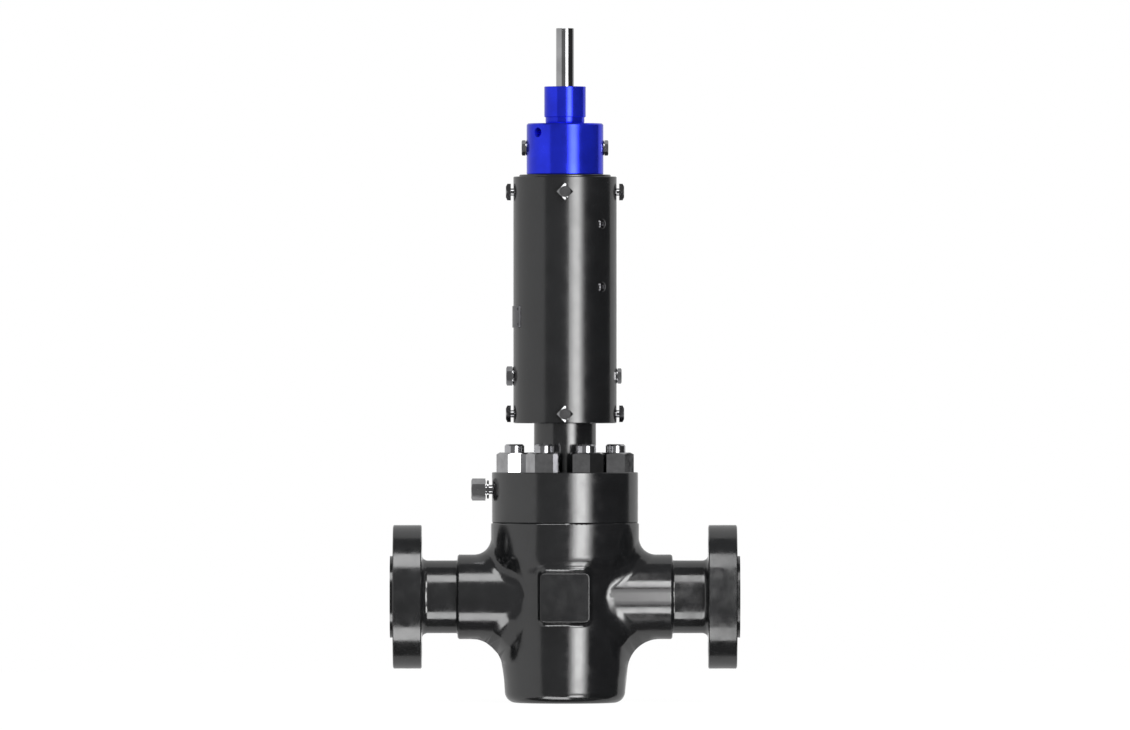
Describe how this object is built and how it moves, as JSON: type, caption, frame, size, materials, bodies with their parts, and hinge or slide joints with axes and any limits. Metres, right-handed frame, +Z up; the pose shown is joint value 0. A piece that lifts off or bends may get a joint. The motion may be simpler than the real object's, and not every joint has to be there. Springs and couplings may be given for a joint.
{
  "type": "hydraulic gate valve",
  "caption": "Flanged slab gate valve with bolted bonnet, tall spring housing, blue hydraulic cylinder and a position indicator rod on top.",
  "frame": {"origin": "centre of the flat foot under the valve body, on the stem's axis", "axes": "+Z up along the stem, +X along the flow bore, -Y towards the viewer of the picture"},
  "size_m": [0.565, 0.252, 1.0888],
  "materials": {
    "black_body": "satin black coating on forged and machined steel",
    "black_housing": "satin black coating on turned tube",
    "blue_coat": "glossy blue coating",
    "plated_nut": "bright zinc plating",
    "stud_steel": "dull plated stud",
    "fastener_steel": "plated steel",
    "polished_rod": "hard chrome, polished",
    "machined_steel": "fine machined",
    "hard_faced_steel": "lapped hard facing",
    "spring_steel": "phosphated spring steel",
    "seal_polymer": "black elastomer",
    "packing_polymer": "filled polymer packing",
    "bearing_bronze": "bronze",
    "plate_metal": "stainless sheet"
  },
  "bodies": {
    "valve": {"valve_body": "black_body", "bonnet": "black_body", "bonnet_gasket": "machined_steel", "bonnet_studs": "stud_steel", "bonnet_nuts": "plated_nut", "seat_ring_left": "hard_faced_steel", "seat_ring_right": "hard_faced_steel", "seat_seals": "packing_polymer", "gate_guide_front": "machined_steel", "gate_guide_back": "machined_steel", "packing_adapter": "machined_steel", "stem_packing": "packing_polymer", "gland_ring": "bearing_bronze", "gland_nut": "machined_steel", "grease_fitting": "fastener_steel", "grease_fitting_cap": "fastener_steel", "housing": "black_housing", "base_plate": "machined_steel", "top_plate": "black_housing", "lower_set_screws": "fastener_steel", "upper_set_screws": "fastener_steel", "outer_spring": "spring_steel", "inner_spring": "spring_steel", "stop_sleeve": "machined_steel", "cylinder_head": "blue_coat", "head_seal": "seal_polymer", "cylinder_cap": "blue_coat", "rod_bush": "bearing_bronze", "rod_seal": "seal_polymer", "rod_wiper": "seal_polymer", "head_plug_left": "fastener_steel", "head_plug_right": "fastener_steel", "head_plug_washers": "fastener_steel", "housing_plug_left": "fastener_steel", "housing_plug_right": "fastener_steel", "housing_plug_washers": "fastener_steel", "accessory_screws": "fastener_steel", "nameplate": "plate_metal", "nameplate_rivets": "fastener_steel"},
    "gate_train": {"gate": "hard_faced_steel", "stem": "machined_steel", "stem_lock_nut": "fastener_steel", "follower_plate": "machined_steel", "piston_rod": "polished_rod", "piston": "machined_steel", "piston_seal": "seal_polymer", "piston_wear_ring": "packing_polymer", "indicator_rod": "polished_rod"}
  },
  "joints": [
    {"name": "gate_stroke", "type": "slide", "parent": "valve", "child": "gate_train", "axis": [0, 0, -1], "range_m": [0, 0.078], "stiffness_N_per_m": 8000, "springref_m": -0.1, "deforming": ["outer_spring", "inner_spring"]}
  ]
}
